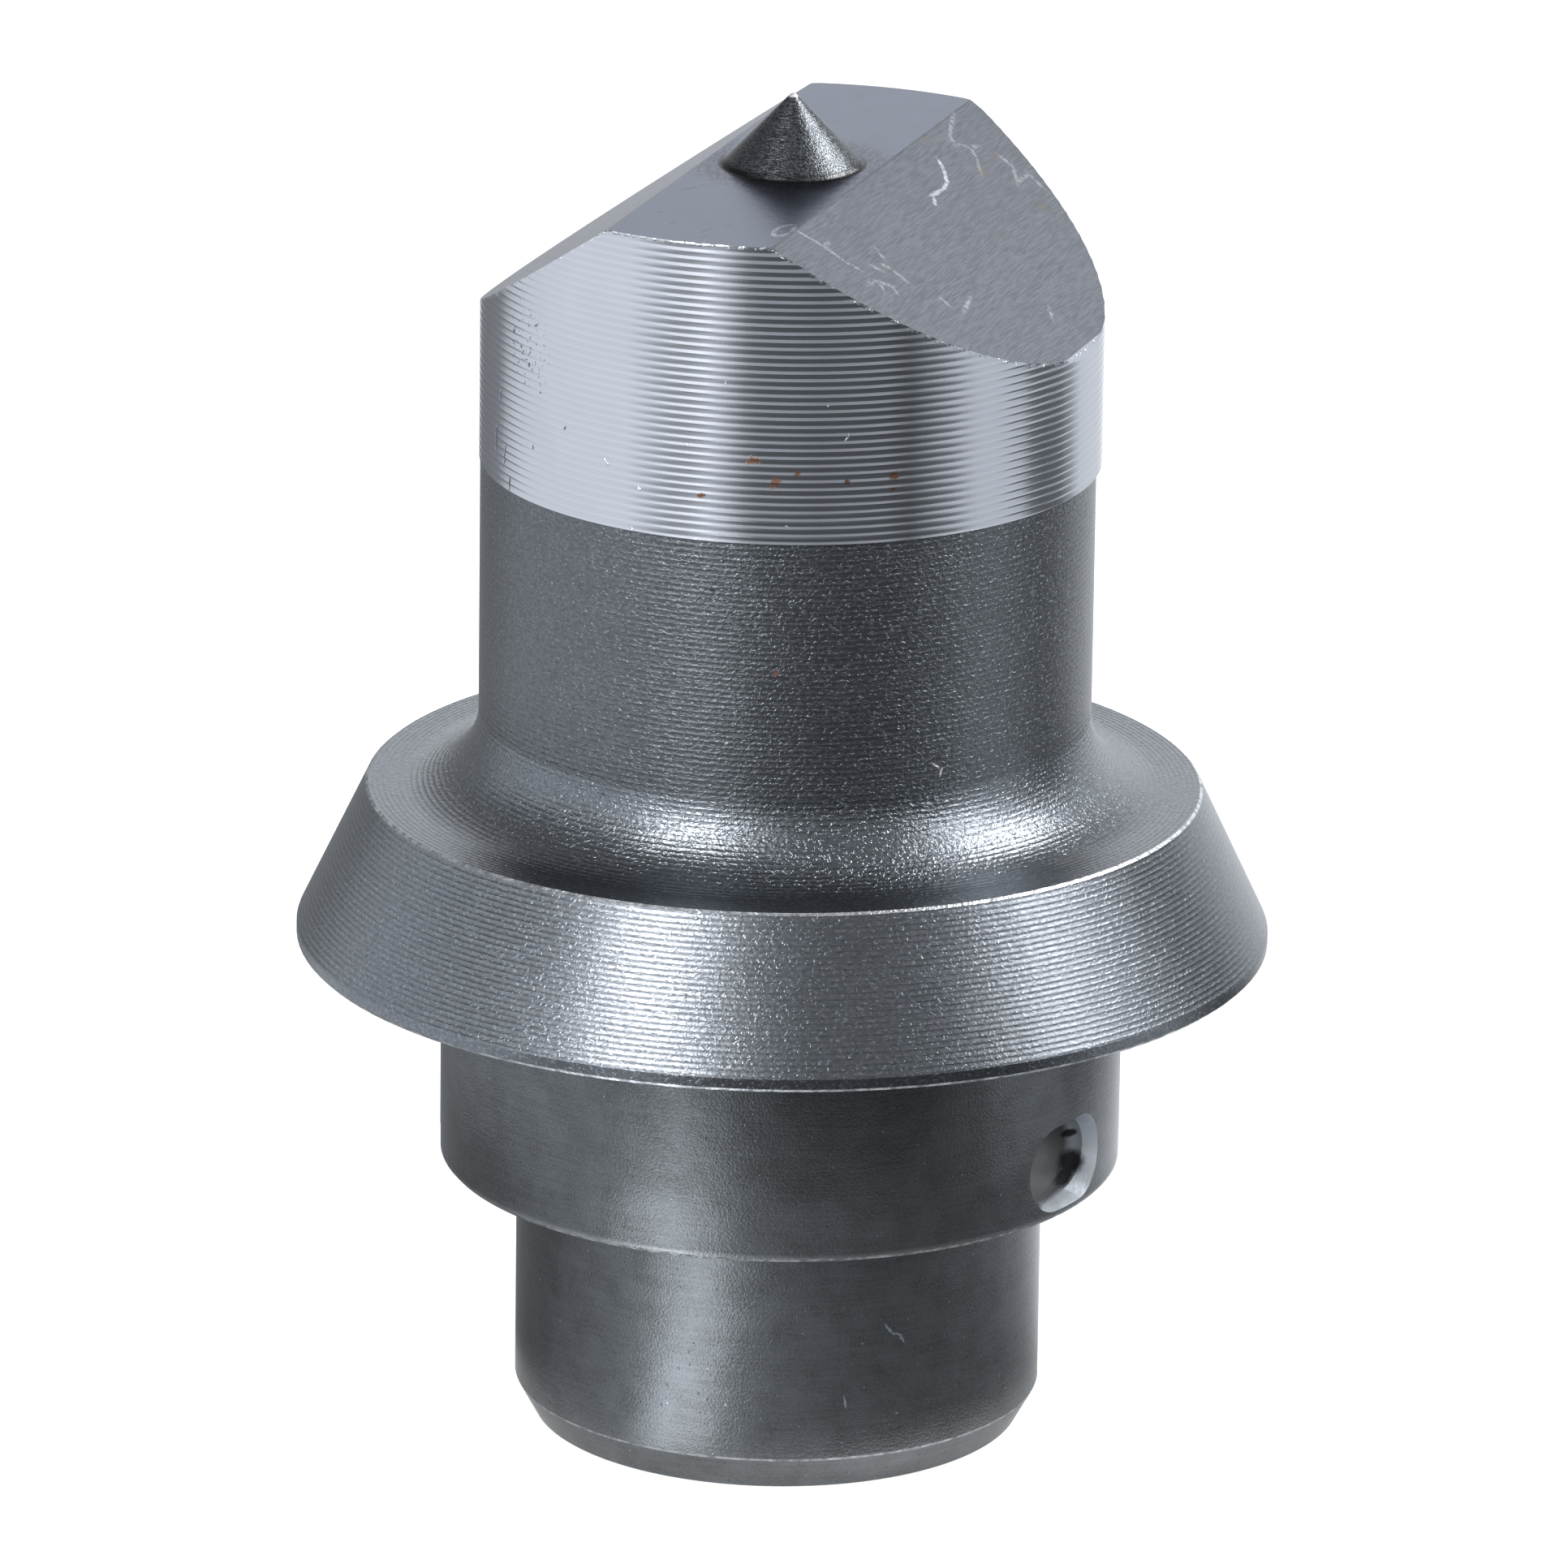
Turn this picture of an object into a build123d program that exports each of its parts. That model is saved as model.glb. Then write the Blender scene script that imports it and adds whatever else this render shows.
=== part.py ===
"""Piercing punch, turned and ground from one bar of tool steel.

Millimetres. The origin is the centre of the flat base, +Z points up to the cutting end,
and the flat crest of the cutting end runs along Y. From the base up the punch has two
spigots that fit its holder, a conical flange that clamps it, a neck, and a slightly larger
cutting land whose end is a flat crest with a pilot cone between two sloping shear faces.
"""
from build123d import *
import math
import os

# Lower spigot and its lead-in chamfer
LOWER_SPIGOT_DIAMETER = 13.7
LOWER_SPIGOT_LENGTH = 7.05
LEAD_IN_LENGTH = 0.9
LEAD_IN_DEPTH = 0.5

# Upper spigot
UPPER_SPIGOT_DIAMETER = 17.7
UPPER_SPIGOT_LENGTH = 5.9
UPPER_SPIGOT_EDGE_BREAK = 0.12

# Flange: a thin rim below a cone that the clamping ring bears on, and a flat ledge on top
FLANGE_DIAMETER = 25.2
RIM_HEIGHT = 0.4
FLANGE_CONE_HEIGHT = 3.75
FLANGE_LEDGE = 0.885
RIM_EDGE_BREAK = 0.1

# Neck, with the fillet that joins it to the top of the flange
NECK_LENGTH = 8.8
NECK_FILLET = 2.0

# Cutting land, which stands proud of the neck all round
LAND_DIAMETER = 16.0
LAND_RELIEF = 0.085
LAND_TO_CREST = 7.75

# Cutting end: flat crest strip between two shear faces
CREST_WIDTH = 4.4
SHEAR_ANGLE = 35.0

# Pilot cone on the crest
PILOT_FOOT_DIAMETER = 3.7
PILOT_HALF_ANGLE = 44.0
PILOT_FOOT_FILLET = 0.22
PILOT_TIP_RADIUS = 0.12

# Locating pocket in the upper spigot, a short slot left by a ball-nosed cutter
POCKET_WIDTH = 2.3
POCKET_LENGTH = 3.4
POCKET_DEPTH = 1.5
POCKET_ABOVE_SHOULDER = 0.2
POCKET_TURN = -13.0

# How far the cuts run on past the stock that they take away
CUT_OVERRUN = 2.0

# Heights above the base
shoulder_z = LOWER_SPIGOT_LENGTH
flange_seat_z = shoulder_z + UPPER_SPIGOT_LENGTH
cone_foot_z = flange_seat_z + RIM_HEIGHT
flange_top_z = cone_foot_z + FLANGE_CONE_HEIGHT
land_foot_z = flange_top_z + NECK_LENGTH
crest_z = land_foot_z + LAND_TO_CREST

# Radii
lower_radius = LOWER_SPIGOT_DIAMETER / 2
upper_radius = UPPER_SPIGOT_DIAMETER / 2
flange_radius = FLANGE_DIAMETER / 2
land_radius = LAND_DIAMETER / 2
neck_radius = land_radius - LAND_RELIEF
flange_top_radius = neck_radius + NECK_FILLET + FLANGE_LEDGE
pilot_radius = PILOT_FOOT_DIAMETER / 2


def corner(face, radius, height):
    """The corner of a half profile that lies at this radius and height."""
    return face.vertices().sort_by_distance((radius, 0, height))[0]


def turned_blank():
    """The punch as it leaves the lathe: spigots, flange, neck, and a flat-ended land with its pilot."""
    flank = math.radians(PILOT_HALF_ANGLE)
    tip_centre_z = crest_z + pilot_radius / math.tan(flank) - PILOT_TIP_RADIUS / math.sin(flank)

    def on_tip(angle):
        """Point of the tip's rounding at this angle above the horizontal."""
        return (PILOT_TIP_RADIUS * math.cos(angle), 0, tip_centre_z + PILOT_TIP_RADIUS * math.sin(angle))

    outside = Polyline(
        (0, 0, 0),
        (lower_radius - LEAD_IN_DEPTH, 0, 0),
        (lower_radius, 0, LEAD_IN_LENGTH),
        (lower_radius, 0, shoulder_z),
        (upper_radius, 0, shoulder_z),
        (upper_radius, 0, flange_seat_z),
        (flange_radius, 0, flange_seat_z),
        (flange_radius, 0, cone_foot_z),
        (flange_top_radius, 0, flange_top_z),
        (neck_radius, 0, flange_top_z),
        (neck_radius, 0, land_foot_z),
        (land_radius, 0, land_foot_z),
        (land_radius, 0, crest_z),
        (pilot_radius, 0, crest_z),
        on_tip(flank),
    )
    tip = ThreePointArc(on_tip(flank), on_tip((flank + math.pi / 2) / 2), on_tip(math.pi / 2))
    centre_line = Line(on_tip(math.pi / 2), (0, 0, 0))
    profile = make_face([outside, tip, centre_line])
    profile = fillet(corner(profile, neck_radius, flange_top_z), NECK_FILLET)
    profile = fillet(corner(profile, pilot_radius, crest_z), PILOT_FOOT_FILLET)
    profile = chamfer(corner(profile, upper_radius, shoulder_z), UPPER_SPIGOT_EDGE_BREAK)
    profile = chamfer(corner(profile, flange_radius, flange_seat_z), RIM_EDGE_BREAK)
    return revolve(profile, Axis.Z)


def shear_wedge(side):
    """Stock ground away on one side of the crest, a prism along Y."""
    reach = land_radius + CUT_OVERRUN
    drop = (reach - CREST_WIDTH / 2) * math.tan(math.radians(SHEAR_ANGLE))
    crest_edge = side * CREST_WIDTH / 2
    section = make_face(
        Polyline(
            (crest_edge, 0, crest_z),
            (side * reach, 0, crest_z - drop),
            (side * reach, 0, crest_z + CUT_OVERRUN),
            (crest_edge, 0, crest_z + CUT_OVERRUN),
            close=True,
        )
    )
    return extrude(section, amount=reach, dir=(0, 1, 0), both=True)


def locating_pocket():
    """The slot's volume: round-ended walls that run out through the spigot, on a ball-nosed floor."""
    turn = math.radians(POCKET_TURN)
    outward = Vector(math.cos(turn), math.sin(turn), 0)
    along = Vector(-math.sin(turn), math.cos(turn), 0)
    ball = POCKET_WIDTH / 2
    travel = POCKET_LENGTH - POCKET_WIDTH
    ball_centre = outward * (upper_radius - POCKET_DEPTH + ball)
    ball_centre += Vector(0, 0, shoulder_z + POCKET_ABOVE_SHOULDER + ball)
    cutter = Plane(origin=ball_centre, x_dir=along, z_dir=outward)
    slot = extrude(SlotCenterToCenter(travel, POCKET_WIDTH), amount=POCKET_DEPTH - ball + CUT_OVERRUN)
    floor = Rot(0, 90, 0) * Cylinder(ball, travel)
    for end in (-travel / 2, travel / 2):
        floor += Pos(end, 0, 0) * Sphere(ball)
    return cutter * (slot + floor)


def punch():
    """The finished punch, one solid."""
    body = turned_blank() - shear_wedge(1) - shear_wedge(-1) - locating_pocket()
    body.label = "punch"
    return body


os.makedirs("parts", exist_ok=True)
export_step(punch(), "parts/punch.step")
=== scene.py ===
"""Piercing punch, shown from the photograph's side.

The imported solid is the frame. Its one visible piece is turned here again from the same sizes, with the feed
rings that the lathe left, the edge breaks, and a finish for each surface: bright turned land, ground shear
faces, polished crest, dark rough neck and flange, and smooth dark spigots. Lengths are written in
millimetres and built in metres.
"""
import bmesh
import bpy
import math
import random
from mathutils import Matrix, Vector


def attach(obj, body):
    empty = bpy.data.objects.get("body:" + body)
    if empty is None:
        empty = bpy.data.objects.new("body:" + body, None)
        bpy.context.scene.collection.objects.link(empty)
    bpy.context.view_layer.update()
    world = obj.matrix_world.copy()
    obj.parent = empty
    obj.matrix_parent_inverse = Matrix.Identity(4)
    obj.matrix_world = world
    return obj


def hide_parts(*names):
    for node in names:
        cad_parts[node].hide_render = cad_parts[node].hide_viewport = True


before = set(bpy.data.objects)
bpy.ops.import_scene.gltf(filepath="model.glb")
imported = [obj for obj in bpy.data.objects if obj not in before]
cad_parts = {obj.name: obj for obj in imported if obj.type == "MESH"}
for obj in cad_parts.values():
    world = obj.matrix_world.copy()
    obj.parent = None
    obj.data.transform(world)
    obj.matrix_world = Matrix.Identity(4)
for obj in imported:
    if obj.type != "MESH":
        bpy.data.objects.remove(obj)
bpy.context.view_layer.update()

MM = 0.001

# Radii and heights of the turned body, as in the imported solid
BASE_RADIUS = 6.35
LOWER_RADIUS = 6.85
LEAD_IN_TOP = 0.9
SHOULDER = 7.05
UPPER_RADIUS = 8.85
FLANGE_SEAT = 12.95
FLANGE_RADIUS = 12.6
CONE_FOOT = 13.35
CONE_TOP_RADIUS = 10.8
FLANGE_TOP = 17.1
NECK_RADIUS = 7.915
NECK_FILLET = 2.0
LAND_FOOT = 25.9
LAND_RADIUS = 8.0
CREST = 33.65

# Cutting end. The fillet at the pilot's foot is drawn smaller than the solid's, as the photograph shows it.
# The cuts leave everything inside PILOT_ZONE whole, and the pilot's finish ends at PILOT_EDGE
CREST_HALF_WIDTH = 2.2
SHEAR_ANGLE = math.radians(35)
PILOT_RADIUS = 1.85
PILOT_HALF_ANGLE = math.radians(44)
PILOT_FOOT_FILLET = 0.08
PILOT_TIP_RADIUS = 0.12
PILOT_ZONE = 2.12
PILOT_EDGE = 1.95
CUTTING_END = LAND_FOOT + 1

# Locating pocket: a ball-ended slot whose walls open a little towards the mouth. The flare is how much
# wider its cutter is at POCKET_REACH outside the ball's centre
POCKET_BALL = 0.98
POCKET_FLARE = 1.5
POCKET_REACH = 1.5
POCKET_TRAVEL = 1.0
POCKET_DEPTH = 1.5
POCKET_CENTRE = 8.4
POCKET_TURN = math.radians(-13)

# The faint line that the last pass left on the upper spigot: its height, its step, and the step's length
WITNESS, WITNESS_STEP, WITNESS_RUN = 7.78, 0.006, 0.03

# How far the land runs out of true, and towards which side
RUN_OUT, RUN_OUT_TURN = 0.056, math.radians(19)

# Turned edges, each as the two ends of its break, in radius and height
BASE_EDGE = (BASE_RADIUS - 0.04, 0), (BASE_RADIUS, 0.03)
LEAD_IN_EDGE = (LOWER_RADIUS - 0.03, LEAD_IN_TOP - 0.02), (LOWER_RADIUS, LEAD_IN_TOP + 0.05)
SPIGOT_EDGE = (UPPER_RADIUS - 0.1, SHOULDER), (UPPER_RADIUS - 0.01, SHOULDER + 0.1)
SEAT_EDGE = (FLANGE_RADIUS - 0.09, FLANGE_SEAT), (FLANGE_RADIUS, FLANGE_SEAT + 0.09)
RIM_EDGE = (FLANGE_RADIUS, CONE_FOOT - 0.05), (FLANGE_RADIUS - 0.02, CONE_FOOT + 0.01)
TOP_EDGE = (CONE_TOP_RADIUS + 0.03, FLANGE_TOP - 0.06), (CONE_TOP_RADIUS - 0.04, FLANGE_TOP)
LAND_FOOT_EDGE = (LAND_RADIUS - 0.02, LAND_FOOT), (LAND_RADIUS, LAND_FOOT + 0.02)
LAND_TOP_EDGE = (LAND_RADIUS, CREST - 0.03), (LAND_RADIUS - 0.03, CREST)

# How far from a corner of the profile, an edge of the spigots and the flange's lower edge an extra point
# keeps the shading flat
CORNER_HOLD, EDGE_HOLD, SEAT_HOLD = 0.08, 0.2, 0.3

# Ground edges: the break along the crest and at the foot of the shear faces, and the three cuts that round
# each corner of the crest, as the outward lean of each one and its depth
CREST_BREAK, SHEAR_FOOT_BREAK = 0.03, 0.04
CORNER_CUTS = ((0.3, 0.02), (0.6, 0.035), (1.3, 0.06))

# Feed rings: spacing along the surface, depth, and where a groove on the land is deepest, as a share of its
# width. The neck's depth serves its fillet and the flange's top too
LAND_FEED, LAND_DEPTH, LAND_LEAN = 0.2, 0.02, 0.6
BODY_FEED, NECK_DEPTH, CONE_DEPTH = 0.15, 0.008, 0.01

# How far a ring's edge wanders, as a share of the spacing, and how much the depth varies from ring to ring
RING_WANDER = 0.015
DEPTH_SPREAD = (0.93, 1.07)

# Faces round the punch, and round the surround that it mirrors
SPIN_STEPS, SURROUND_STEPS = 128, 96

random.seed(7)


# The half profile

def line(start, end):
    """A straight run, as a function of the share of it that is done, with its outward normal."""
    (r0, z0), (r1, z1) = start, end
    length = math.hypot(r1 - r0, z1 - z0)
    normal = ((z1 - z0) / length, (r0 - r1) / length)
    return length, lambda t: ((r0 + (r1 - r0) * t, z0 + (z1 - z0) * t), normal)


def hollow_arc(centre, radius, start, end):
    """An arc seen from inside, such as a fillet, between two angles in radians."""
    def at(t):
        angle = start + (end - start) * t
        out = (math.cos(angle), math.sin(angle))
        return (centre[0] + radius * out[0], centre[1] + radius * out[1]), (-out[0], -out[1])
    return radius * abs(end - start), at


def ringed(run, feed, depth, lean=0.5):
    """Points along a run with a groove for each turn of the lathe. Lean is the share of a groove's width at
    which it is deepest."""
    length, at = run
    count = max(1, round(length / feed))
    edges = [0, *(k + random.uniform(-RING_WANDER, RING_WANDER) for k in range(1, count)), count]
    points = []
    for low, high in zip(edges, edges[1:]):
        groove = depth * random.uniform(*DEPTH_SPREAD)
        for share in (0.25, 0.5, 0.75, 1.0):
            side = (share - lean) / (1 - lean if share > lean else lean)
            (r, z), (nr, nz) = at((low + (high - low) * share) / count)
            sunk = groove * (1 - side * side)
            points.append((r - nr * sunk, z - nz * sunk))
    return points


def plain(run, pieces=1):
    """Evenly spaced points along a smooth run."""
    return [run[1]((k + 1) / pieces)[0] for k in range(pieces)]


def half_profile():
    """Radius and height of each point of the half profile, from the base's centre to the pilot's tip."""
    points = [(0, 0), *BASE_EDGE]
    points += plain(line(points[-1], LEAD_IN_EDGE[0]), 2)
    points += [LEAD_IN_EDGE[1], (LOWER_RADIUS, LEAD_IN_TOP + EDGE_HOLD)]
    points += plain(line(points[-1], (LOWER_RADIUS, SHOULDER - CORNER_HOLD)), 4)
    points += [(LOWER_RADIUS, SHOULDER), (LOWER_RADIUS + CORNER_HOLD, SHOULDER)]
    points += [(UPPER_RADIUS - EDGE_HOLD, SHOULDER), *SPIGOT_EDGE]
    points += [(UPPER_RADIUS - WITNESS_STEP, WITNESS - WITNESS_RUN), (UPPER_RADIUS, WITNESS)]
    points += plain(line(points[-1], (UPPER_RADIUS, FLANGE_SEAT - CORNER_HOLD)), 4)
    points += [(UPPER_RADIUS, FLANGE_SEAT), (UPPER_RADIUS + CORNER_HOLD, FLANGE_SEAT)]
    points += [(FLANGE_RADIUS - SEAT_HOLD, FLANGE_SEAT), *SEAT_EDGE, *RIM_EDGE]
    points += ringed(line(points[-1], TOP_EDGE[0]), BODY_FEED, CONE_DEPTH)
    points.append(TOP_EDGE[1])
    fillet_centre = (NECK_RADIUS + NECK_FILLET, FLANGE_TOP + NECK_FILLET)
    points += ringed(line(points[-1], (fillet_centre[0], FLANGE_TOP)), BODY_FEED, NECK_DEPTH)
    points += ringed(hollow_arc(fillet_centre, NECK_FILLET, -math.pi / 2, -math.pi), BODY_FEED, NECK_DEPTH)
    points += ringed(line(points[-1], (NECK_RADIUS, LAND_FOOT)), BODY_FEED, NECK_DEPTH)
    points += LAND_FOOT_EDGE
    points += ringed(line(points[-1], LAND_TOP_EDGE[0]), LAND_FEED, LAND_DEPTH, LAND_LEAN)
    points.append(LAND_TOP_EDGE[1])
    foot = PILOT_RADIUS + PILOT_FOOT_FILLET * math.tan(math.pi / 4 - PILOT_HALF_ANGLE / 2)
    points += [(PILOT_ZONE + 0.06, CREST), (PILOT_ZONE - 0.02, CREST), (foot + 0.02, CREST)]
    turn = math.pi / 2 - PILOT_HALF_ANGLE
    foot_centre = (foot, CREST + PILOT_FOOT_FILLET)
    points += plain(hollow_arc(foot_centre, PILOT_FOOT_FILLET, -math.pi / 2, -math.pi / 2 - turn), 5)
    cone_height = PILOT_RADIUS / math.tan(PILOT_HALF_ANGLE)
    tip_centre = CREST + cone_height - PILOT_TIP_RADIUS / math.sin(PILOT_HALF_ANGLE)
    angles = [PILOT_HALF_ANGLE + turn * step / 4 for step in range(4)]
    tip = [(PILOT_TIP_RADIUS * math.cos(a), tip_centre + PILOT_TIP_RADIUS * math.sin(a)) for a in angles]
    points += plain(line(points[-1], tip[0]), 12) + tip[1:]
    points.append((0, tip_centre + PILOT_TIP_RADIUS))
    return points


# Modelling helpers

def pick(piece, wanted):
    """In edit mode, selects the faces that wanted says yes to, by their centre in mm and normal."""
    bpy.ops.mesh.select_mode(type="FACE")
    bpy.ops.mesh.select_all(action="DESELECT")
    mesh = bmesh.from_edit_mesh(piece.data)
    for face in mesh.faces:
        if wanted(face.calc_center_median() / MM, face.normal):
            face.select = True
    bmesh.update_edit_mesh(piece.data)


def spin_profile(name, profile, steps):
    """Draws a profile of radius and height in mm, point by point, and spins it round the axis. The piece is
    left in edit mode."""
    bpy.ops.object.select_all(action="DESELECT")
    bpy.ops.mesh.primitive_plane_add(size=MM)
    piece = bpy.context.object
    piece.name = piece.data.name = name
    bpy.ops.object.mode_set(mode="EDIT")
    bpy.ops.mesh.select_mode(type="VERT")
    bpy.ops.mesh.merge(type="CENTER")
    places = [Vector((r, 0, z)) * MM for r, z in profile]
    bpy.ops.transform.translate(value=places[0])
    for here, there in zip(places, places[1:]):
        bpy.ops.mesh.extrude_region_move(TRANSFORM_OT_translate={"value": there - here})
    bpy.ops.mesh.select_all(action="SELECT")
    bpy.ops.mesh.spin(steps=steps, angle=math.tau, center=(0, 0, 0), axis=(0, 0, 1))
    bpy.ops.mesh.select_all(action="SELECT")
    bpy.ops.mesh.remove_doubles(threshold=0.0005 * MM)
    bpy.ops.mesh.normals_make_consistent(inside=False)
    return piece


def run_land_out(piece):
    """Sets the land a little off the axis, as it came from the last regrind."""
    pick(piece, lambda c, n: c.z > LAND_FOOT and math.hypot(c.x, c.y) > NECK_RADIUS - 0.05 and n.z < 0.5)
    aside = Vector((math.cos(RUN_OUT_TURN), math.sin(RUN_OUT_TURN), 0)) * RUN_OUT * MM
    bpy.ops.transform.translate(value=aside)


def cut(piece, point, normal):
    """Grinds away what lies beyond a plane at the cutting end, leaving the pilot whole."""
    pick(piece, lambda c, n: c.z > CUTTING_END and math.hypot(c.x, c.y) > PILOT_ZONE)
    bpy.ops.mesh.bisect(
        plane_co=Vector(point) * MM, plane_no=Vector(normal).normalized(),
        use_fill=True, clear_outer=True, threshold=1e-7,
    )


def grind_roof(piece):
    """Cuts the two shear faces, and breaks the edges and corners that each one leaves."""
    out, up = math.sin(SHEAR_ANGLE), math.cos(SHEAR_ANGLE)
    low = CREST - (LAND_RADIUS - CREST_HALF_WIDTH) * math.tan(SHEAR_ANGLE)
    end = math.sqrt(LAND_RADIUS ** 2 - CREST_HALF_WIDTH ** 2)
    for side in (-1, 1):
        cut(piece, (side * CREST_HALF_WIDTH, 0, CREST), (side * out, 0, up))
        cut(piece, (side * (CREST_HALF_WIDTH - CREST_BREAK), 0, CREST), (side * out / 2, 0, up))
        foot = (side * (LAND_RADIUS - SHEAR_FOOT_BREAK), 0, low - SHEAR_FOOT_BREAK)
        cut(piece, foot, (side * (1 + out), 0, up))
        for face in (-1, 1):
            outward = Vector((side * CREST_HALF_WIDTH, face * end, 0)).normalized()
            corner = Vector((side * CREST_HALF_WIDTH, face * end, CREST))
            for lean, depth in CORNER_CUTS:
                tilt = outward * lean + Vector((side * out, 0, 1 + up)) / 2
                cut(piece, corner - tilt.normalized() * depth, tilt)


def mill_pocket(piece):
    """Takes the locating pocket out of the upper spigot with a ball-ended slot."""
    bpy.ops.object.mode_set(mode="OBJECT")
    outward = Vector((math.cos(POCKET_TURN), math.sin(POCKET_TURN), 0))
    along = Vector((-math.sin(POCKET_TURN), math.cos(POCKET_TURN), 0))
    centre = outward * (UPPER_RADIUS - POCKET_DEPTH + POCKET_BALL) - along * POCKET_TRAVEL / 2
    centre.z = POCKET_CENTRE
    bpy.ops.mesh.primitive_uv_sphere_add(
        segments=48, ring_count=24, radius=POCKET_BALL * MM, location=centre * MM,
        rotation=(0, 0, POCKET_TURN),
    )
    cutter = bpy.context.object
    bpy.ops.object.mode_set(mode="EDIT")
    pick(cutter, lambda c, n: c.y > 0)
    bpy.ops.mesh.extrude_region_move(TRANSFORM_OT_translate={"value": along * POCKET_TRAVEL * MM})
    pick(cutter, lambda c, n: c.x > 0)
    bpy.ops.mesh.extrude_region_move(TRANSFORM_OT_translate={"value": outward * POCKET_REACH * MM})
    middle = centre + along * POCKET_TRAVEL / 2
    bpy.ops.transform.resize(
        value=(1, POCKET_FLARE, POCKET_FLARE), orient_type="LOCAL", center_override=tuple(middle * MM)
    )
    bpy.ops.object.mode_set(mode="OBJECT")
    bpy.context.view_layer.objects.active = piece
    pocket = piece.modifiers.new("pocket", "BOOLEAN")
    pocket.object, pocket.operation, pocket.solver = cutter, "DIFFERENCE", "EXACT"
    bpy.ops.object.modifier_apply(modifier=pocket.name)
    bpy.data.objects.remove(cutter)


# Shader maths

# Fineness of the noise that makes outlines ragged, the sum of the shares of a mark's size at which its fade
# starts and ends, and how much longer each oval of a stroke is than its part of the line
JITTER_SCALE, FADE_SUM, STROKE_OVERLAP = 9.0, 1.85, 1.25


class Amount:
    """A number that may vary over a surface. Arithmetic on it adds Math nodes to its finish."""

    def __init__(self, finish, socket):
        self.finish, self.socket = finish, socket

    def math(self, operation, *values):
        return self.finish.add("ShaderNodeMath", {"operation": operation}, dict(enumerate(values)))

    def __add__(self, other): return self.math("ADD", self, other)
    def __radd__(self, other): return self.math("ADD", other, self)
    def __sub__(self, other): return self.math("SUBTRACT", self, other)
    def __rsub__(self, other): return self.math("SUBTRACT", other, self)
    def __mul__(self, other): return self.math("MULTIPLY", self, other)
    def __rmul__(self, other): return self.math("MULTIPLY", other, self)
    def __truediv__(self, other): return self.math("DIVIDE", self, other)

    def rise(self, low, high):
        """Smoothly from 0 at low to 1 at high."""
        return self.finish.add(
            "ShaderNodeMapRange", {"interpolation_type": "SMOOTHSTEP"}, {0: self, 1: low, 2: high}
        )


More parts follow.
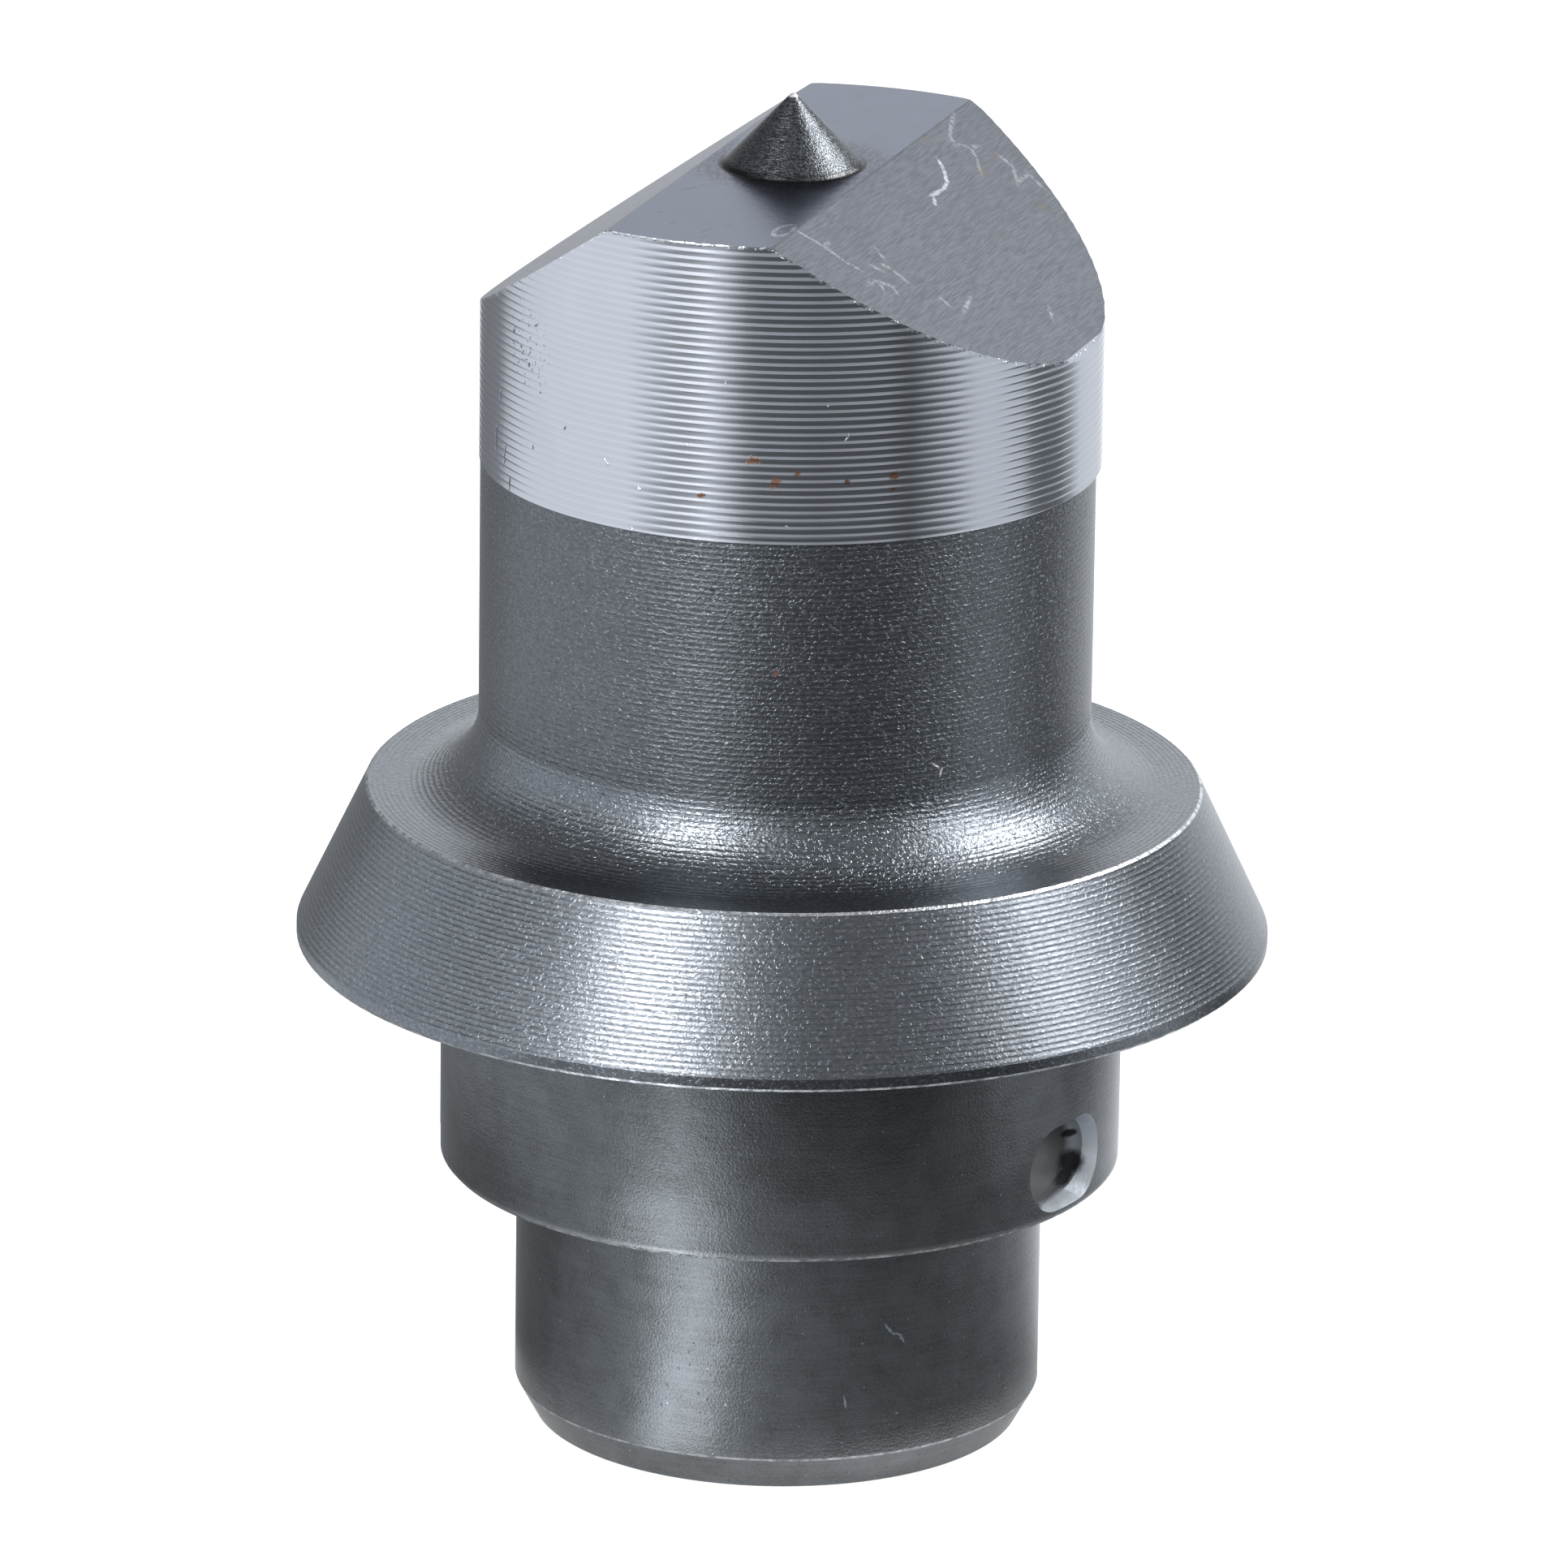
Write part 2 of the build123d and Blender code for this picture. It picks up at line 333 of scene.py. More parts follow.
class Finish:
    """A material made of nodes, or the world's nodes where a world is given instead of a name."""

    def __init__(self, name, world=None):
        self.material = world or bpy.data.materials.new(name)
        self.material.use_nodes = True
        self.tree = self.material.node_tree
        self.tree.nodes.clear()

    def add(self, kind, settings=None, inputs=None, output=0):
        """Adds a node, sets it up, a ramp's stops included, and gives its sockets their values or links."""
        node = self.tree.nodes.new(kind)
        for name, value in (settings or {}).items():
            if name == "stops":
                elements = node.color_ramp.elements
                while len(elements) < len(value):
                    elements.new(0.5)
                for element, (at, colour) in zip(elements, value):
                    element.position, element.color = at, colour
            else:
                setattr(node, name, value)
        for name, value in (inputs or {}).items():
            if isinstance(value, Amount):
                self.tree.links.new(value.socket, node.inputs[name])
            else:
                node.inputs[name].default_value = value
        return Amount(self, node.outputs[output]) if node.outputs else None

    def place(self, stretch=(1, 1, 1)):
        """Object coordinates in millimetres, stretched by these factors."""
        here = self.add("ShaderNodeTexCoord", output="Object")
        scale = [1 / (MM * s) for s in stretch]
        return self.add("ShaderNodeMapping", inputs={"Vector": here, "Scale": scale})

    def noise(self, size, detail, stretch=(1, 1, 1)):
        """Noise from 0 to 1 whose features are about size mm across, stretched along the axes."""
        return self.add("ShaderNodeTexNoise", inputs={
            "Vector": self.place(stretch), "Scale": 1 / size, "Detail": detail,
        })

    def blend(self, amount, first, second):
        """The first colour where amount is 0, the second where it is 1."""
        return self.add("ShaderNodeMix", {"data_type": "RGBA"}, {0: amount, 6: first, 7: second}, output=2)

    def axes(self):
        """The three object coordinates in mm, each as a number."""
        apart = self.tree.nodes.new("ShaderNodeSeparateXYZ")
        self.tree.links.new(self.place().socket, apart.inputs[0])
        return [Amount(self, socket) for socket in apart.outputs]

    def flat(self, u, v, ragged=0.0):
        """Two numbers as a place on a flat sheet in mm. Ragged is how widely the outlines on it wander."""
        sheet = self.add("ShaderNodeCombineXYZ", inputs={0: u, 1: v})
        if not ragged:
            return sheet
        jitter = self.add("ShaderNodeTexNoise", inputs={
            "Vector": sheet, "Scale": JITTER_SCALE, "Detail": 3.0,
        }, output="Color")
        off = self.add("ShaderNodeVectorMath", {"operation": "SUBTRACT"}, {0: jitter, 1: (0.5, 0.5, 0.5)})
        off = self.add("ShaderNodeVectorMath", {"operation": "MULTIPLY"}, {0: off, 1: (ragged, ragged, 0)})
        return self.add("ShaderNodeVectorMath", {"operation": "ADD"}, {0: sheet, 1: off})

    def unrolled(self, radius, ragged):
        """The surface of this radius unrolled: mm round it from the -Y side, and height."""
        x, y, z = self.axes()
        return self.flat(x.math("ARCTAN2", x, 0 - y) * radius, z, ragged)

    def oval(self, sheet, u, v, length, width, lean):
        """0 at an oval's middle and 1 on its outline, by its middle, length, width and lean in degrees."""
        place = self.add("ShaderNodeMapping", {"vector_type": "TEXTURE"}, {
            "Vector": sheet, "Location": (u, v, 0), "Rotation": (0, 0, math.radians(lean)),
            "Scale": (length / 2, width / 2, 1),
        })
        return self.add("ShaderNodeVectorMath", {"operation": "LENGTH"}, {0: place}, "Value")

    def marks(self, sheet, places, soft=0.7):
        """1 on small oval marks and 0 around them. They start to fade at the share soft of their size."""
        nearest = None
        for place in places:
            reach = self.oval(sheet, *place)
            nearest = reach if nearest is None else nearest.math("MINIMUM", nearest, reach)
        return 1 - nearest.rise(soft, FADE_SUM - soft)

    def strokes(self, sheet, lines, width, soft=0.7):
        """1 along thin crooked lines, given by their corners. Each part is an oval that meets the next."""
        places = []
        for corners in lines:
            for (u0, v0), (u1, v1) in zip(corners, corners[1:]):
                length, lean = math.hypot(u1 - u0, v1 - v0), math.degrees(math.atan2(v1 - v0, u1 - u0))
                places.append(((u0 + u1) / 2, (v0 + v1) / 2, length * STROKE_OVERLAP, width, lean))
        return self.marks(sheet, places, soft)

    def metal(self, colour, roughness, relief, edge=0.6, bare=1.0):
        """Closes the finish. Relief is in mm, edge is how bright it turns where it is seen along the
        surface, and bare is the share of clean metal in it, the rest being dull scale."""
        surface = self.add("ShaderNodeBsdfPrincipled", inputs={
            "Base Color": colour, "Metallic": bare, "Roughness": roughness,
            "Specular Tint": (edge, edge, edge, 1),
            "Normal": self.add("ShaderNodeBump", inputs={"Distance": MM, "Height": relief}),
        })
        self.add("ShaderNodeOutputMaterial", inputs={"Surface": surface})
        return self.material


def steel(level, red=0.9, blue=1.14):
    """A steel colour of this lightness, with its red and blue as shares of its green."""
    return (level * red, level, level * blue, 1)


# Marks on the land: rust stars, bright chips, dark nicks and a patch of fine pits. Each has its place, in
# mm round the land from the -Y side and height, then its length, width and lean in degrees
LAND_RUST = (
    (1.83, 28.1, 0.4, 0.15, 20), (1.86, 28.12, 0.36, 0.15, -35), (2.35, 27.55, 0.4, 0.15, 80),
    (2.4, 27.55, 0.3, 0.16, 10), (2.95, 27.8, 0.16, 0.14, 0), (0.49, 27.1, 0.24, 0.15, 0),
    (5.43, 27.65, 0.28, 0.24, 0), (5.4, 27.3, 0.14, 0.12, 0), (4.2, 27.55, 0.16, 0.14, 0),
)
LAND_CHIPS = (
    (-2.2, 27.6, 0.25, 0.07, -45), (-1.2, 27.05, 0.14, 0.12, 0), (-1.4, 25.97, 0.12, 0.07, 80),
    (4.2, 28.7, 0.2, 0.05, 60), (1.1, 30.1, 0.07, 0.06, 0), (3.7, 29.55, 0.07, 0.06, 0),
    (0.1, 28.4, 0.08, 0.07, 0), (2.7, 26.4, 0.09, 0.06, 0),
)
LAND_NICKS = (
    (-7.0, 27.1, 0.7, 0.1, 88), (-6.4, 26.8, 0.55, 0.08, 80), (-6.1, 26.1, 0.4, 0.12, 85),
    (-6.7, 28.3, 0.35, 0.1, 80), (-5.9, 30.2, 0.14, 0.1, 0), (-5.5, 29.9, 0.1, 0.08, 0),
    (-5.1, 29.5, 0.12, 0.08, 40), (-4.6, 28.9, 0.08, 0.08, 0),
    (-4.8, 30.6, 0.1, 0.06, 0), (-3.6, 28.2, 0.06, 0.12, 0), (-4.9, 27.4, 0.07, 0.14, 0),
)
LAND_PITS = (-5.3, 29.9, 2.6, 3.0, 0)

# Scratches on the crest, in mm along X and Y, and the loop of lint that lies on its front right corner
CREST_SCRATCHES = (
    (-1.6, -3.2, 0.5, 0.05, 60), (-1.4, -2.8, 0.2, 0.04, 60), (0.13, -6.8, 0.5, 0.05, 75),
    (0.3, -7.2, 0.4, 0.04, 70), (0.45, -6.1, 0.3, 0.04, 20), (-0.9, -6.4, 0.3, 0.04, 80),
    (-1.5, -5.6, 0.2, 0.05, 40),
)
CREST_LOOP = (1.93, -6.05, 1.2, 0.5, 90)

# Dirt on the right shear face, in mm down the slope and along the crest: one thick hair, thin lint, stains
HAIR = (((0.75, 3.25), (1.05, 3.0), (1.4, 2.45), (1.45, 1.95), (1.4, 1.2)), ((1.5, 1.2), (1.65, 0.9)))
LINT = (
    ((0.0, 6.2), (0.4, 5.0), (0.7, 4.7), (1.0, 5.2), (1.3, 4.95), (1.7, 4.4)), ((1.0, 5.2), (1.1, 5.6)),
    ((1.65, 6.0), (2.1, 6.0), (2.5, 5.4), (2.5, 6.3), (3.1, 6.2)),
    ((0.0, -5.9), (0.8, -5.55), (1.4, -5.45), (1.8, -5.25)), ((0.75, -5.2), (0.8, -5.6)),
    ((1.65, -3.6), (1.95, -3.75)), ((2.05, -4.1), (2.3, -3.95), (2.8, -3.95)), ((1.9, -4.6), (2.2, -4.4)),
    ((2.25, -5.6), (2.25, -5.2), (2.65, -4.75), (2.9, -4.9)), ((2.35, -5.0), (2.6, -5.3)),
    ((3.65, -3.4), (4.0, -3.4)), ((4.15, -2.25), (4.3, -3.05)), ((5.6, 0.5), (5.9, 0.1)),
)
SHEAR_STAINS = (
    (0.1, 3.8, 0.3, 0.25, 0), (1.7, 4.5, 0.3, 0.4, 0), (1.6, 5.8, 0.25, 0.35, 0),
    (3.4, 5.2, 0.25, 0.5, 0), (3.3, 2.1, 0.12, 0.12, 0), (3.8, 0.3, 0.1, 0.1, 0),
)


def land_finish():
    """The bright land, with a burr where the grinding ended on its edges, painted bright as glints there and
    along its foot.
    """
    f = Finish("turned_land")
    streak = f.noise(0.05, 3, stretch=(40, 40, 1))
    cloud = f.noise(1.5, 3)
    sheet = f.unrolled(LAND_RADIUS, ragged=0.16)
    rust, chips, nicks = [f.marks(sheet, places) for places in (LAND_RUST, LAND_CHIPS, LAND_NICKS)]
    pitted = 1 - f.oval(sheet, *LAND_PITS).rise(0.5, 1.0)
    nicks = nicks.math("MAXIMUM", nicks, pitted * f.noise(0.12, 2).rise(0.62, 0.7) * 0.7)
    x, _, z = f.axes()
    under_slope = (
        math.sin(SHEAR_ANGLE) * CREST_HALF_WIDTH + math.cos(SHEAR_ANGLE) * CREST
        - x.math("ABSOLUTE", x) * math.sin(SHEAR_ANGLE) - z * math.cos(SHEAR_ANGLE)
    )
    near = under_slope.math("MINIMUM", under_slope, CREST - z)
    burr_and_glints = (1 - near.rise(0.04, 0.09)) * f.noise(0.13, 2).rise(0.5, 0.6)
    burr_and_glints = burr_and_glints * (0.35 + 0.65 * z.rise(CREST - 0.2, CREST - 0.1))
    burr_and_glints = burr_and_glints + (1 - (z - LAND_FOOT).rise(0.02, 0.05)) * f.noise(0.3, 3).rise(0.5, 0.65) * 0.1
    colour = f.blend(cloud, steel(0.52, 0.96, 1.09), steel(0.57, 0.96, 1.09))
    # Painted glints: the burr is lightened to near white; the chips are bright bare metal
    colour = f.blend(burr_and_glints.math("MAXIMUM", burr_and_glints * 0.6, chips), colour, steel(0.9, 0.98, 1.04))
    colour = f.blend(nicks * 0.8, colour, steel(0.12))
    colour = f.blend(rust * 0.9, colour, (0.17, 0.07, 0.025, 1))
    relief = streak * 0.0007 + f.noise(0.08, 2) * 0.0008 + f.noise(0.07, 2) * (burr_and_glints + chips) * 0.03
    relief = relief - nicks * 0.01
    return f.metal(colour, 0.1 + 0.06 * cloud + 0.3 * rust + 0.14 * (burr_and_glints + chips + nicks), relief)


def crest_finish():
    """The polished crest, scuffed round the pilot and painted dark there as shade, with a few scratches and a
    loop of lint.
    """
    f = Finish("polished_crest")
    cloud = f.noise(0.9, 3)
    x, y, _ = f.axes()
    scratches = f.marks(f.flat(x, y, ragged=0.05), CREST_SCRATCHES)
    colour = f.blend(cloud, steel(0.255, 0.9, 1.26), steel(0.295, 0.9, 1.26))
    loop = f.oval(f.flat(x, y), *CREST_LOOP) - 0.85
    loop = (1 - loop.math("ABSOLUTE", loop).rise(0.1, 0.3)) * f.noise(0.15, 2).rise(0.3, 0.5)
    near = 1 - f.oval(f.flat(x, y), 0, 0, PILOT_RADIUS * 2, PILOT_RADIUS * 2, 0).rise(1.1, 2.2)
    strokes = f.noise(0.06, 3, stretch=(1, 5, 1)) * near
    colour = f.blend(scratches * 0.6, colour, steel(0.1))
    # Painted shade round the pilot's foot, broken up by the strokes
    colour = f.blend(near * strokes.rise(0.3, 0.6) * 0.5, colour, steel(0.08))
    colour = f.blend(loop * 0.5, colour, steel(0.8, 0.97, 1.08))
    return f.metal(colour, 0.17 + 0.1 * cloud, f.noise(0.2, 3) * 0.003 + strokes * 0.004)


def shear_finish():
    """The shear faces, dull from grinding along the crest, with lint and stains on the right one."""
    f = Finish("ground_shear_face")
    lines = f.noise(0.045, 2, stretch=(1, 14, 1)) * 0.85 + f.noise(0.25, 2, stretch=(1, 12, 1)) * 0.15
    grit = f.noise(0.09, 2)
    x, y, _ = f.axes()
    sheet = f.flat((x - CREST_HALF_WIDTH) / math.cos(SHEAR_ANGLE), y, ragged=0.14)
    broken = f.noise(0.12, 2).rise(0.3, 0.6)
    hair, lint = f.strokes(sheet, HAIR, 0.13, soft=0.5), f.strokes(sheet, LINT, 0.13, soft=0.2)
    stain = f.marks(sheet, SHEAR_STAINS, soft=0.3)
    colour = f.blend(lines.rise(0.3, 0.7), steel(0.145, 0.92, 1.15), steel(0.215, 0.92, 1.15))
    colour = f.blend(f.noise(1.1, 2).rise(0.35, 0.65) * 0.3, colour, steel(0.19, 0.97, 1.08))
    colour = f.blend(hair * (0.4 + 0.6 * broken) * 0.55, colour, steel(0.95, 0.96, 1.05))
    colour = f.blend(lint * broken * 0.25, colour, steel(0.95, 0.96, 1.05))
    colour = f.blend(stain * 0.35, colour, (0.24, 0.19, 0.12, 1))
    relief = lines * 0.004 + grit * 0.005 + (hair + lint) * 0.003
    return f.metal(colour, 0.44 + 0.1 * grit, relief, edge=1.0)


def pilot_finish():
    """The brushed pilot, painted dark as shade at its foot, with a painted highlight there on the right and
    another on its rougher tip.
    """
    f = Finish("pilot_cone")
    down = f.noise(0.04, 2, stretch=(1, 1, 4))
    brushed = (f.noise(0.045, 2, stretch=(4, 1, 1)) * 0.5 + down * 0.5).rise(0.3, 0.75)
    x, y, z = f.axes()
    right = x * math.cos(CAMERA_TURN) + y * math.sin(CAMERA_TURN)
    # Painted shade at the pilot's foot, where it meets the crest
    foot = 1 - z.rise(CREST + 0.08, CREST + 0.18)
    # Painted highlight in a thin band by the foot, on the side to the camera's right
    right_foot_highlight = z.rise(CREST + 0.02, CREST + 0.05) * (1 - z.rise(CREST + 0.08, CREST + 0.13))
    right_foot_highlight = right_foot_highlight * right.rise(-1.2, -0.6)
    # Painted highlight on the tip, which is also rougher
    tip = z.rise(CREST + 1.76, CREST + 1.8)
    colour = f.blend(brushed, steel(0.035, 0.93, 1.08), steel(0.22, 0.93, 1.08))
    colour = f.blend(foot * 0.9, colour, steel(0.02))
    right_foot_highlight = right_foot_highlight * f.noise(0.3, 2).rise(0.35, 0.6) * 0.12
    colour = f.blend(right_foot_highlight.math("MAXIMUM", right_foot_highlight, tip), colour, steel(0.85, 1.0, 1.0))
    return f.metal(colour, 0.29 + 0.08 * brushed + 0.15 * tip, brushed * 0.007, edge=0.8)


def body_finish(name, dark, bright, rough, relief, sand, bare):
    """The rough turned body: fine grain drawn out round it, sparse points that stand up as bumps and are
    painted bright as glints, and marks on the neck.
    Sand is how much coarser the grain gets on the fillet, and bare is the share of clean metal."""
    f = Finish(name)
    grain = f.noise(0.07, 2, stretch=(1.8, 1.8, 1))
    sandy = 1 + f.axes()[2].rise(FLANGE_TOP, FLANGE_TOP + 0.2) * sand
    points = f.noise(0.07, 1, stretch=(1.4, 1.4, 1)).rise(0.55, 0.72)
    cloud = f.noise(1.2, 3)
    sheet = f.unrolled(NECK_RADIUS, ragged=0.1)
    rust = f.marks(sheet, ((2.43, 22.5, 0.2, 0.14, 60), (11.9, 20.3, 0.1, 0.08, 0)))
    dust = f.marks(sheet, (
        (6.7, 19.8, 0.22, 0.06, -30), (6.85, 19.6, 0.25, 0.06, 70), (1.2, 20.6, 0.12, 0.06, 30),
    ))
    nick = f.marks(sheet, ((12.95, 25.2, 0.5, 0.09, 92), (0.8, 24.6, 0.14, 0.1, 0)))
    colour = f.blend(cloud, steel(dark, 0.925, 1.1), steel(bright, 0.925, 1.1))
    colour = f.blend(grain.rise(0.25, 0.75), steel(dark * 0.8, 0.925, 1.1), colour)
    # Painted glints: the sparse points lightened towards a bright steel
    colour = f.blend(points * 0.2, colour, steel(bright * 2.6, 0.925, 1.1))
    colour = f.blend(rust * 0.7, colour, (0.2, 0.085, 0.04, 1))
    colour = f.blend(dust * 0.8, colour, steel(0.75, 1.0, 1.0))
    colour = f.blend(nick * 0.8, colour, steel(0.02))
    rough = rough + 0.05 * cloud + 0.3 * (rust + dust)
    return f.metal(colour, rough, (grain + points * 0.5) * sandy * relief, edge=0.85, bare=bare)


def spigot_finish():
    """The smooth dark spigots, with painted shade under the shoulder and the flange, a painted sheen along
    the upper spigot's lower edge, pits and a little dust.
    """
    f = Finish("smooth_spigot")
    streak = f.noise(0.07, 3, stretch=(30, 30, 1))
    cloud = f.noise(0.8, 5)
    grit = f.noise(0.06, 2)
    pits = f.noise(0.13, 2).rise(0.68, 0.76)
    dust = f.noise(0.16, 2).rise(0.74, 0.78)
    z = f.axes()[2]
    fluff = f.strokes(f.unrolled(LOWER_RADIUS, ragged=0.1), (
        ((5.2, 4.45), (5.4, 4.2), (5.6, 4.15), (5.75, 3.9)), ((4.1, 2.6), (4.15, 2.3)),
    ), 0.07)
    # Painted shade: darker bands just under the shoulder and just under the flange
    shade_under_ledges = (
        z.rise(SHOULDER - 0.5, SHOULDER - 0.05) * (1 - z.rise(SHOULDER, SHOULDER + 0.02))
        + z.rise(FLANGE_SEAT - 0.8, FLANGE_SEAT - 0.1)
    )
    # Painted sheen: a lighter band just above the upper spigot's lower edge
    edge_sheen = z.rise(SHOULDER + 0.02, SHOULDER + 0.06) * (1 - z.rise(SHOULDER + 0.1, SHOULDER + 0.24))
    colour = f.blend(cloud.rise(0.3, 0.7), steel(0.1, 0.95, 1.04), steel(0.135, 0.93, 1.06))
    colour = f.blend(streak.rise(0.3, 0.75) * 0.2, colour, steel(0.24, 0.94, 1.05))
    colour = f.blend((pits * 0.6).math("MAXIMUM", pits * 0.6, shade_under_ledges * 0.75), colour, steel(0.03))
    colour = f.blend(edge_sheen * (0.3 + 0.5 * cloud), colour, steel(0.4, 0.96, 1.04))
    colour = f.blend(dust.math("MAXIMUM", dust * 0.6, fluff * 0.7), colour, steel(0.6))
    colour = f.blend(grit.rise(0.3, 0.7) * 0.45, colour, steel(0.19, 0.94, 1.05))
    relief = streak * 0.004 + grit * 0.013 - pits * 0.006
    return f.metal(colour, 0.29 + 0.05 * cloud, relief, edge=0.7)


def pocket_finish():
    """The pocket: its wall painted bright as a highlight, its deeper floor rougher and painted darker as
    shade, and painted shade in its heart.
    """
    f = Finish("milled_pocket")
    cloud = f.noise(0.35, 3)
    scuff = f.noise(0.12, 3)
    x, _, z = f.axes()
    # Painted shade in the pocket's heart, as ovals
    heart_shade = f.marks(f.flat(x, z, ragged=0.12), (
        (8.2, 7.92, 0.7, 0.62, 0), (8.12, 7.62, 0.5, 0.42, 60), (8.1, 8.66, 0.5, 0.22, 25),
    ), soft=0.6)
    # The wall's colour is painted brighter than steel, as a highlight
    colour = f.blend(cloud, steel(0.75, 0.95, 1.06), steel(0.95, 0.95, 1.06))
    # Painted shade: the deeper floor is darker
    floor = 1 - x.rise(7.9, 8.2)
    colour = f.blend(floor, colour, steel(0.24, 0.97, 1.0))
    colour = f.blend(heart_shade * 0.92, colour, steel(0.03))
    return f.metal(colour, 0.5 + 0.08 * cloud + 0.3 * floor, cloud * 0.015 + scuff * 0.006)


def edge_finish(name, dull, bright):
    """An edge break that handling has worn bright in places."""
    f = Finish(name)
    wear = f.noise(0.3, 3).rise(0.35, 0.65)
    colour = f.blend(wear, steel(dull, 0.96, 1.05), steel(bright, 0.96, 1.05))
    return f.metal(colour, 0.42 - 0.1 * wear, f.noise(0.1, 2) * 0.03)


# Turned edges that wear has brightened, and how near a face's centre has to be to lie on one, in mm
WORN_EDGES = (LEAD_IN_EDGE, SPIGOT_EDGE, SEAT_EDGE, TOP_EDGE)
EDGE_REACH = 0.03

# Faces whose centre is within this of a height lie at it, in mm
NEAR = 0.001

# Faces that meet at less than this are shaded as one smooth surface
SMOOTH_ANGLE = math.radians(15)


def zone(centre, normal):
    """The surface that a face belongs to, by its centre in mm and its normal."""
    radius = math.hypot(centre.x, centre.y)
    pilot_reach = PILOT_ZONE - 0.01 if centre.z > CREST + NEAR else PILOT_EDGE
    if centre.z > CREST - NEAR and radius < pilot_reach:
        return "pilot"
    if centre.z > CUTTING_END and normal.z > 0.95:
        return "crest"
    if centre.z > CUTTING_END and normal.z > 0.6 and abs(normal.y) < 0.01:
        return "shear"
    if centre.z > LAND_FOOT - NEAR and radius > NECK_RADIUS - 0.01:
        return "land"
    for (radius_0, height_0), (radius_1, height_1) in WORN_EDGES:
        middle = (radius_0 + radius_1) / 2, (height_0 + height_1) / 2
        if math.dist((radius, centre.z), middle) < EDGE_REACH:
            return "rim" if middle[1] > FLANGE_SEAT else "edge"
    if centre.z > FLANGE_TOP + NECK_FILLET:
        return "neck"
    if centre.z > FLANGE_SEAT + NEAR:
        return "flange"
    if SHOULDER + 0.1 < centre.z < FLANGE_SEAT - 0.1 and radius < UPPER_RADIUS - 0.02:
        return "pocket"
    return "spigot"


def finish_steel(piece):
    """Gives each surface its own finish, and shades it smooth except over the edges."""
    finishes = {
        "land": land_finish(), "crest": crest_finish(), "shear": shear_finish(), "pilot": pilot_finish(),
        "neck": body_finish(
            "dark_neck", dark=0.13, bright=0.18, rough=0.33, relief=0.017, sand=0, bare=0.93
        ),
        "flange": body_finish(
            "turned_flange", dark=0.19, bright=0.24, rough=0.28, relief=0.008, sand=1.4, bare=1
        ),
        "spigot": spigot_finish(), "pocket": pocket_finish(),
        "rim": edge_finish("worn_rim", dull=0.35, bright=0.85),
        "edge": edge_finish("worn_spigot_edge", dull=0.18, bright=0.38),
    }
    for material in finishes.values():
        piece.data.materials.append(material)
    names = list(finishes)
    for face in piece.data.polygons:
        face.material_index = names.index(zone(face.center / MM, face.normal))
    bpy.ops.object.select_all(action="DESELECT")
    piece.select_set(True)
    bpy.context.view_layer.objects.active = piece
    bpy.ops.object.shade_smooth_by_angle(angle=SMOOTH_ANGLE)


# The stage

CAMERA_TURN = math.radians(19.432)
CAMERA_PITCH = math.radians(17.985)
CAMERA_ROLL = math.radians(0.768)
CAMERA_DISTANCE = 335.434
CAMERA_HEIGHT = 125.907
CAMERA_LENS = 313.0

# The surround: radius and height of the dish's inner edge, of its outer edge, and the height of the wall
DISH_NEAR, DISH_FOOT = 8.5, 0.3
DISH_FAR, DISH_TOP, WALL_TOP = 80, 25.5, 50

# Height that the lamps face, side of the floor in metres, its own glow, and brightness of the sky
LAMP_AIM, FLOOR_SIDE, FLOOR_GLOW, SKY = 20, 4, 0.7, 0.3


def around(angle, distance, height):
    """A place on the stage, by its angle to the right of the camera's side, in degrees, and mm."""
    turn = CAMERA_TURN + math.radians(angle)
    return Vector((math.sin(turn) * distance, -math.cos(turn) * distance, height)) * MM


def add_camera():
    """The camera that took the photograph, as fitted to the punch's outline."""
    camera = bpy.data.objects.new("camera", bpy.data.cameras.new("camera"))
    bpy.context.scene.collection.objects.link(camera)
    camera.data.sensor_width = 36
    camera.data.lens = CAMERA_LENS
    camera.data.clip_start, camera.data.clip_end = 0.01, 20
    turn = (
        Matrix.Rotation(CAMERA_TURN, 4, "Z")
        @ Matrix.Rotation(math.pi / 2 - CAMERA_PITCH, 4, "X")
        @ Matrix.Rotation(CAMERA_ROLL, 4, "Z")
    )
    camera.matrix_world = Matrix.Translation(around(0, CAMERA_DISTANCE, CAMERA_HEIGHT)) @ turn
    bpy.context.scene.camera = camera


def add_lamp(name, angle, distance, height, size, radiance):
    """A soft panel lamp that faces the punch, with its brightness as the light that its face gives off."""
    lamp = bpy.data.objects.new(name, bpy.data.lights.new(name, "AREA"))
    bpy.context.scene.collection.objects.link(lamp)
    lamp.data.shape = "RECTANGLE"
    lamp.data.size, lamp.data.size_y = size[0] * MM, size[1] * MM
    lamp.data.energy = radiance * math.pi * size[0] * size[1] * MM * MM
    lamp.location = around(angle, distance, height)
    aim = Vector((0, 0, LAMP_AIM * MM)) - lamp.location
    lamp.rotation_euler = aim.to_track_quat("-Z", "Y").to_euler()
    lamp.visible_camera = False


def add_floor():
    """A pale floor that glows a little, so that it stays white to the camera and in the steel."""
    bpy.ops.object.select_all(action="DESELECT")
    bpy.ops.mesh.primitive_plane_add(size=FLOOR_SIDE)
    floor = bpy.context.object
    floor.name = "floor"
    f = Finish("pale_floor")
    seen = f.add("ShaderNodeLightPath", output="Is Camera Ray")
    mirrored = f.add("ShaderNodeLightPath", output="Is Glossy Ray")
    through = f.add("ShaderNodeLightPath", output="Is Transmission Ray")
    lit = f.add("ShaderNodeBsdfDiffuse", inputs={"Color": (0.5, 0.5, 0.5, 1)})
    strength = (seen + mirrored + through) * FLOOR_GLOW
    glow = f.add("ShaderNodeEmission", inputs={"Color": (1, 1, 1, 1), "Strength": strength})
    both = f.add("ShaderNodeAddShader", inputs={0: lit, 1: glow})
    f.add("ShaderNodeOutputMaterial", inputs={"Surface": both})
    floor.data.materials.append(f.material)


